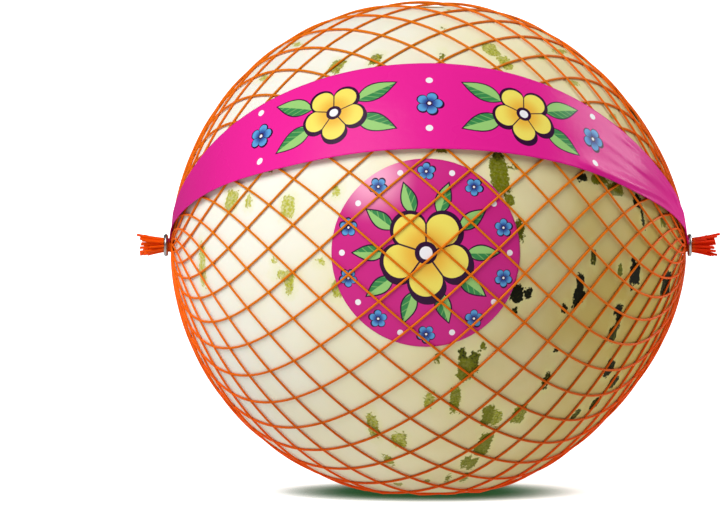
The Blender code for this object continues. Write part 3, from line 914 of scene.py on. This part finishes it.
for side in (-1, 1):
    for number in range(STRANDS_EACH_WAY):
        outward = way_from_axis(pitch * number + TAIL_TURN)
        rank = (number * TAIL_ORDER) % STRANDS_EACH_WAY
        share = math.sqrt((rank + 0.5) / STRANDS_EACH_WAY)
        reach = TAIL_LONGEST if number == LONGEST_TAIL else chance.uniform(*TAIL_REACH)
        bend = chance.uniform(*TAIL_BEND)
        path = []
        radii = []
        for step in range(TAIL_STEPS + 1):
            run = step / TAIL_STEPS
            along = TAIL_START + run * (reach - TAIL_START)
            fan = share * (NECK_RADIUS * (1 - run) + TAIL_FAN * bend * run ** TAIL_BEND_POWER)
            if step == 0:
                fan = fan + share * TAIL_FLARE
            path.append(NET_MIDDLE + np.array((side * along, 0, 0)) + outward * fan)
            full = TAIL_SLIM + (1 - TAIL_SLIM) * min(1.0, run / TAIL_SLIM_RUN)
            radii.append(full * TAIL_RADIUS / STRAND_RADIUS)
        add_spline(net_curve, np.array(path), radii)
net = mesh_of_curve("net_strands", net_curve)

net_finish, tree, shader = new_finish("orange_net_plastic", 0.34)
place = place_in_mm(tree)
grain = add_effect(tree, fine_grain, Place=place, Grain=NET_GRAIN_MM)
x, y, z = parts_of(tree, place)
# Painted light and shade: darker yellow strands on the front, brighter orange ones at the edges, redder
# ones low and to the right.
half_way = step_up(tree, maths(tree, "ABSOLUTE", y), *HALF_WAY_BACK_MM)
redder = maths(tree, "MULTIPLY_ADD", z, RED_UP, RED_START)
redder = maths(tree, "MULTIPLY_ADD", x, RED_TO_RIGHT, redder)
redder = maths(tree, "MULTIPLY_ADD", half_way, RED_HALF_WAY, redder)
redder = maths(tree, "MULTIPLY_ADD", noise_of(tree, place, RED_MOTTLE_LUMPS, 2.0), RED_MOTTLE, redder)
plastic = blend_of(tree, redder, NET_YELLOW, NET_ORANGE)
shade_below = maths(tree, "MULTIPLY", step_up(tree, z, *SHADED_MM), SHADED_SHARE)
shade_below = maths(tree, "MULTIPLY", shade_below, maths(tree, "SUBTRACT", 1.0, half_way))
plastic = blend_of(tree, shade_below, plastic, NET_SHADED)
beyond_clip = step_up(tree, maths(tree, "ABSOLUTE", x), *TUFT_MM)
tuft = blend_of(tree, step_up(tree, x, *TUFT_SIDES_MM), TUFT_ORANGE, NET_RED)
feed(tree, shader.inputs["Base Color"], blend_of(tree, beyond_clip, plastic, tuft))
feed(tree, shader.inputs["Roughness"], maths(
    tree, "MULTIPLY_ADD", grain.outputs["Mottle"], *NET_ROUGHNESS))
roughen(tree, shader, grain.outputs["Height"], NET_RELIEF)
shader.inputs["Specular IOR Level"].default_value = 0.05
net.data.materials.append(net_finish)
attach(net, "root")
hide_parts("net")

# The clips. Each is a piece of steel wire, closed into a ring round the net's neck by a press, with
# its two cut ends meeting at the back.
CLIP_STEPS = 48
CLIP_GAP = 9
CLIP_GAP_TURN = 205
WIRE_ROUNDNESS = 4
STEEL_LIGHT = (0.52, 0.52, 0.51, 1.0)
STEEL_DARK = (0.30, 0.30, 0.30, 1.0)
STEEL_ROUGHNESS = (0.2, 0.2)
STEEL_GRAIN_MM = 0.35
STEEL_RELIEF = 0.00002

clip_finish, tree, shader = new_finish("clip_steel", 0.3, 1.0)
place = place_in_mm(tree)
grain = add_effect(tree, fine_grain, Place=place, Grain=STEEL_GRAIN_MM)
feed(tree, shader.inputs["Base Color"], blend_of(tree, grain.outputs["Mottle"], STEEL_LIGHT, STEEL_DARK))
feed(tree, shader.inputs["Roughness"], maths(
    tree, "MULTIPLY_ADD", grain.outputs["Height"], *STEEL_ROUGHNESS))
roughen(tree, shader, grain.outputs["Height"], STEEL_RELIEF)
for side_name in ("left", "right"):
    low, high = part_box("clip_" + side_name)
    middle = (low + high) / 2
    wire_radius = (high.x - low.x) / 2
    ring_radius = (high.z - low.z) / 2 - wire_radius
    wire = new_curve("clip_wire_" + side_name, wire_radius, WIRE_ROUNDNESS)
    path = []
    for step in range(CLIP_STEPS + 1):
        turn = math.radians(CLIP_GAP_TURN + CLIP_GAP / 2 + (360 - CLIP_GAP) * step / CLIP_STEPS)
        forward = ring_radius * math.cos(turn)
        upward = ring_radius * math.sin(turn)
        path.append((middle.x, middle.y - forward, middle.z + upward))
    add_spline(wire, np.array(path), np.ones(len(path)))
    clip = mesh_of_curve("clip_wire_" + side_name, wire)
    clip.data.materials.append(clip_finish)
    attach(clip, "root")
    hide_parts("clip_" + side_name)

# The band. A strip of printed film that lies on the net from clip to clip, above the front. It
# narrows to both ends, where the clips hold it with the net, and it has soft pleats to the right.
BAND_LOW_EDGE = 25.6
# Dips of the low edge: degrees down, place along from 0 to 1, and width along.
BAND_LOW_DIPS = ((1.0, 0.29, 0.11), (1.2, 0.84, 0.09), (22.0, 1.0, 0.0155))
BAND_HIGH_EDGE = 49.4
BAND_HIGH_RISE = (6.0, 9.0)
BAND_RISE_START = 0.9
BAND_REST = 0.00110
BAND_LOW_LIFT = 0.0009
BAND_HIGH_LIFT = 0.0004
BAND_LIFT_SHARE = 0.4
BAND_HIGH_LIFT_START = 1.5
BAND_SETTLE = 0.12
BAND_END_BULGE = 0.0006
BAND_BULGE_POLAR = (6.0, 3.5)
BAND_THICKNESS = 0.00016
BAND_STEPS_LONG = 320
BAND_STEPS_WIDE = 56
BAND_END_POLAR = 4.4
BAND_END_RUN = 0.03
BAND_NECK = (0.0824, 0.00235)
BAND_FLAT_LENGTH = 0.262
# Pleats: height, half width below and above the crest, and the crest's places along and across.
PLEATS = (
    (0.0007, 0.05, 0.12,
     ((0.69, 0.09), (0.75, 0.07), (0.79, 0.08), (0.83, 0.11), (0.87, 0.19), (0.94, 0.26))),
    (0.0006, 0.12, 0.16, ((0.80, 0.61), (0.86, 0.60), (0.90, 0.61), (0.94, 0.74), (0.97, 0.86))),
    (0.00035, 0.05, 0.08, ((0.84, 0.83), (0.88, 0.77), (0.92, 0.70), (0.97, 0.66))),
    (0.0003, 0.05, 0.08, ((0.76, 0.84), (0.81, 0.84), (0.86, 0.87))),
    (0.00015, 0.04, 0.06, ((0.72, 0.62), (0.77, 0.55), (0.83, 0.49), (0.89, 0.47))),
    (0.00015, 0.04, 0.06, ((0.74, 0.38), (0.80, 0.33), (0.86, 0.31), (0.92, 0.36))),
)
PLEAT_FADE = 0.05
FILM_MAGENTA = (0.80, 0.017, 0.30, 1.0)
FILM_SHADED = (0.74, 0.014, 0.275, 1.0)
FILM_SHADED_END = (0.52, 0.012, 0.20, 1.0)

bpy.ops.object.select_all(action="DESELECT")
bpy.ops.mesh.primitive_grid_add(x_subdivisions=BAND_STEPS_LONG, y_subdivisions=BAND_STEPS_WIDE, size=1)
band = bpy.context.object
band.name = "band_film"
square = read_points(band) + 0.5
run = square[:, 0]
across = square[:, 1]
polar = 180 - BAND_END_POLAR - (180 - 2 * BAND_END_POLAR) * run
sideways = np.clip((np.abs(np.cos(np.radians(polar))) - BAND_RISE_START) / (1 - BAND_RISE_START), 0, 1)
high_rise = np.where(run < 0.5, *BAND_HIGH_RISE) * sideways ** 2
low_edge = np.full(len(run), BAND_LOW_EDGE)
for dip, dip_run, dip_width in BAND_LOW_DIPS:
    low_edge = low_edge - dip * np.exp(-((run - dip_run) / dip_width) ** 2)
high_edge = BAND_HIGH_EDGE + high_rise
azimuth = low_edge + (high_edge - low_edge) * across
low_lift = BAND_LOW_LIFT * np.clip(1 - across / BAND_LIFT_SHARE, 0, 1) ** 2
high_lift = BAND_HIGH_LIFT * np.clip(across / BAND_LIFT_SHARE - BAND_HIGH_LIFT_START, 0, 1) ** 2
lift = low_lift + high_lift
for ridge_height, below_width, above_width, crest in PLEATS:
    crest_run, crest_across = np.array(crest).T
    grown = np.clip(np.minimum(run - crest_run[0], crest_run[-1] - run) / PLEAT_FADE, 0, 1)
    aside = across - np.interp(run, crest_run, crest_across)
    slope = aside / np.where(aside < 0, below_width, above_width)
    lift = lift + ridge_height * ease(grown) * np.exp(-slope ** 2)
lift = lift + BAND_END_BULGE * np.exp(-((polar - BAND_BULGE_POLAR[0]) / BAND_BULGE_POLAR[1]) ** 2)
settle = np.clip(np.sin(np.radians(polar)) / BAND_SETTLE, 0, 1)
ways = net_ways(polar, azimuth)
points = above_skin(ways, BAND_REST + lift * settle, 0.0)
arc = FRUIT_RADIUS + BAND_REST
along_flat = np.radians(90 - polar) * arc
across_flat = (np.radians(azimuth) - math.radians((BAND_LOW_EDGE + BAND_HIGH_EDGE) / 2)) * arc
across_flat = across_flat * np.sin(np.radians(polar))
lay_flat(band, np.column_stack((0.5 + along_flat / BAND_FLAT_LENGTH, 0.5 + across_flat / BAND_FLAT_LENGTH)))
for end in (-1, 1):
    from_end = run if end < 0 else 1 - run
    share = ease(np.clip(1 - from_end / BAND_END_RUN, 0, 1))
    from_axis = points - NET_MIDDLE
    from_axis[:, 0] = 0
    radius = np.linalg.norm(from_axis, axis=1)
    wanted = radius * (1 - share) + BAND_NECK[1] * share
    reach = np.abs(points[:, 0]) * (1 - share ** 3) + BAND_NECK[0] * share ** 3
    near = share > 0
    points[near] = NET_MIDDLE + from_axis[near] * (wanted / radius)[near, None]
    points[near, 0] = end * reach[near]
place_points(band, points)
add_film_thickness(band, BAND_THICKNESS)

BLOSSOM_REPEAT_MM = 62.0
BAND_BLOSSOM_MM = 11.0
BAND_LEAF_MM = 15.0
BAND_LEAF_START_MM = 8.0
SMALL_REPEAT_MM = 58.0
SMALL_BLOSSOM_MM = 4.6
PRINT_HALF_LENGTH_MM = 66.0
BAND_DOT_MM = 1.1
BAND_DOT_PLACE_MM = 9.5
BAND_LEAF_TILT = 24
PRINT_END_MM = 0.2
FILM_SHADED_END_MM = (-128.0, -48.0)
FILM_SHADE_MM = (-30.0, 45.0)
FILM_LIGHT_MM = (112.0, 88.0)
RUBBED_MM = (76.0, 104.0)
RUBBED_ROUGHNESS = (0.36, 0.24)
FILM_MOTTLE = 0.08
FILM_GRAIN_MM = 2.2
FILM_RELIEF = 0.00008

band_finish, tree, shader = new_finish("magenta_film", 0.32)
place = place_in_mm(tree)
grain = add_effect(tree, fine_grain, Place=place, Grain=FILM_GRAIN_MM)
x, y = flat_parts(tree, BAND_FLAT_LENGTH)
end_side = maths(tree, "ABSOLUTE", x)
# Painted shade: one magenta film, made darker towards its left end and from the middle to the right.
film = blend_of(tree, step_up(tree, x, *FILM_SHADED_END_MM), FILM_SHADED_END, FILM_MAGENTA)
shaded = maths(tree, "MULTIPLY", step_up(tree, x, *FILM_SHADE_MM), step_up(tree, x, *FILM_LIGHT_MM))
film = blend_of(tree, shaded, film, FILM_SHADED)
printed = step_up(tree, end_side, PRINT_HALF_LENGTH_MM + PRINT_END_MM, PRINT_HALF_LENGTH_MM)
half_repeat = BLOSSOM_REPEAT_MM / 2
local_x = maths(tree, "WRAP", maths(tree, "ADD", x, half_repeat), half_repeat, -half_repeat)
side_x = maths(tree, "ABSOLUTE", local_x)
side_y = maths(tree, "ABSOLUTE", y)
tilted_x, tilted_y = turned_parts(tree, side_x, side_y, -BAND_LEAF_TILT)
leaf_root = vector_of(tree, maths(tree, "SUBTRACT", tilted_x, BAND_LEAF_START_MM), tilted_y)
print_colour = overprint(tree, film, add_effect(tree, leaf_print, Place=leaf_root, Length=BAND_LEAF_MM))
upright = vector_of(tree, *turned_parts(tree, local_x, y, UPRIGHT_TURN))
print_colour = overprint(tree, print_colour, add_effect(
    tree, blossom_print, Place=upright, Radius=BAND_BLOSSOM_MM, Petal=YELLOW_INK, Throat=ORANGE_INK))
small_x = maths(tree, "WRAP", x, SMALL_REPEAT_MM / 2, -SMALL_REPEAT_MM / 2)
print_colour = overprint(tree, print_colour, add_effect(
    tree, blossom_print, Place=vector_of(tree, small_x, y), Radius=SMALL_BLOSSOM_MM,
    Petal=BLUE_INK, Throat=DEEP_BLUE_INK))
dot = dot_cover(tree, small_x, maths(tree, "SUBTRACT", side_y, BAND_DOT_PLACE_MM), BAND_DOT_MM)
print_colour = blend_of(tree, dot, print_colour, WHITE_INK)
feed(tree, shader.inputs["Base Color"], blend_of(tree, printed, film, print_colour))
rubbed = maths(tree, "MULTIPLY_ADD", step_up(tree, end_side, *RUBBED_MM), *RUBBED_ROUGHNESS)
feed(tree, shader.inputs["Roughness"], maths(
    tree, "MULTIPLY_ADD", grain.outputs["Mottle"], FILM_MOTTLE, rubbed))
roughen(tree, shader, grain.outputs["Height"], FILM_RELIEF)
shader.inputs["Specular IOR Level"].default_value = 0.08
band.data.materials.append(band_finish)
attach(band, "root")
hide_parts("band")

# The floor. A plain white studio floor that reaches the horizon. Close round the fruit's resting
# spot it darkens to a deep green, a painted contact shadow.
FLOOR_SIZE = 40.0
FLOOR_WHITE = (0.84, 0.86, 0.88, 1.0)
FLOOR_GLOW = 0.80
CONTACT_SHADOW_GREEN = (0.004, 0.060, 0.018, 1.0)
CONTACT_REACH = 0.017
CONTACT_EDGE = (0.05, 0.95)
FLOOR_ROUGHNESS = 0.9
FLOOR_BOUNCE = (0.36, 0.36, 0.36, 1.0)
FLOOR_BOUNCE_GLOW = 0.48
WHITE = (1.0, 1.0, 1.0, 1.0)


def show_camera(tree, unseen, seen, output):
    """Give the camera one shader to see, and the light that falls elsewhere another."""
    choice = tree.nodes.new("ShaderNodeMixShader")
    tree.links.new(tree.nodes.new("ShaderNodeLightPath").outputs["Is Camera Ray"], choice.inputs[0])
    tree.links.new(unseen.outputs[0], choice.inputs[1])
    tree.links.new(seen.outputs[0], choice.inputs[2])
    tree.links.new(choice.outputs[0], tree.nodes[output].inputs["Surface"])


bpy.ops.object.select_all(action="DESELECT")
bpy.ops.mesh.primitive_plane_add(size=FLOOR_SIZE)
floor = bpy.context.object
floor.name = "floor"
floor_finish, tree, shader = new_finish("studio_floor", FLOOR_ROUGHNESS)
# Painted shadow: colour and glow turn deep green where the fruit is close above the floor.
contact = tree.nodes.new("ShaderNodeAmbientOcclusion")
contact.inputs["Distance"].default_value = CONTACT_REACH
out_of_shadow = step_up(tree, contact.outputs["AO"], *CONTACT_EDGE)
feed(tree, shader.inputs["Base Color"], blend_of(tree, out_of_shadow, CONTACT_SHADOW_GREEN, FLOOR_WHITE))
feed(tree, shader.inputs["Emission Color"], blend_of(tree, out_of_shadow, CONTACT_SHADOW_GREEN, WHITE))
shader.inputs["Specular IOR Level"].default_value = 0.1
shader.inputs["Emission Strength"].default_value = FLOOR_GLOW
bounce = tree.nodes.new("ShaderNodeBsdfPrincipled")
bounce.inputs["Base Color"].default_value = FLOOR_BOUNCE
bounce.inputs["Roughness"].default_value = FLOOR_ROUGHNESS
bounce.inputs["Emission Color"].default_value = WHITE
bounce.inputs["Emission Strength"].default_value = FLOOR_BOUNCE_GLOW
show_camera(tree, bounce, shader, "Material Output")
floor.data.materials.append(floor_finish)

# The light. A broad soft key from the front left and above, a second soft light from the right and
# behind, and a faint even fill all round.
KEY_STRENGTH = 3.05
KEY_SPREAD = 45
KEY_TURN = (43, 0, -45)
KEY_COLOUR = (1.0, 0.99, 1.0)
BACK_STRENGTH = 1.65
BACK_SPREAD = 32
BACK_TURN = (-62, 0, -60)
FILL_STRENGTH = 0.10


def add_sun(name, strength, spread, turn, colour):
    """A distant light, turned from straight down."""
    lamp = bpy.data.lights.new(name, "SUN")
    lamp.energy = strength
    lamp.angle = math.radians(spread)
    lamp.color = colour
    sun = bpy.data.objects.new(name, lamp)
    sun.rotation_euler = [math.radians(part) for part in turn]
    bpy.context.scene.collection.objects.link(sun)


add_sun("key_light", KEY_STRENGTH, KEY_SPREAD, KEY_TURN, KEY_COLOUR)
add_sun("back_light", BACK_STRENGTH, BACK_SPREAD, BACK_TURN, WHITE[:3])
world = bpy.data.worlds.new("studio")
world.use_nodes = True
tree = world.node_tree
fill = tree.nodes["Background"]
fill.inputs["Color"].default_value = WHITE
fill.inputs["Strength"].default_value = FILL_STRENGTH
seen = tree.nodes.new("ShaderNodeBackground")
seen.inputs["Color"].default_value = WHITE
seen.inputs["Strength"].default_value = 1.0
show_camera(tree, fill, seen, "World Output")
bpy.context.scene.world = world
bpy.context.scene.view_settings.view_transform = "Standard"

# The camera. It stands a little above the fruit's middle and looks along +Y.
CAMERA_DISTANCE = 5.0
CAMERA_ELEVATION = 3
CAMERA_AIM = (-0.0218, 0.0, 0.0754)
SENSOR_WIDTH_MM = 36
VIEW_WIDTH = 0.2294
NEAREST_SEEN = 0.01
FARTHEST_SEEN = 100
eye = bpy.data.cameras.new("camera")
eye.sensor_width = SENSOR_WIDTH_MM
eye.lens = SENSOR_WIDTH_MM * CAMERA_DISTANCE / VIEW_WIDTH
eye.clip_start = NEAREST_SEEN
eye.clip_end = FARTHEST_SEEN
camera = bpy.data.objects.new("camera", eye)
rise = math.radians(CAMERA_ELEVATION)
camera.location = (CAMERA_AIM[0], CAMERA_AIM[1] - CAMERA_DISTANCE * math.cos(rise),
                   CAMERA_AIM[2] + CAMERA_DISTANCE * math.sin(rise))
camera.rotation_euler = (math.pi / 2 - rise, 0, 0)
bpy.context.scene.collection.objects.link(camera)
bpy.context.scene.camera = camera
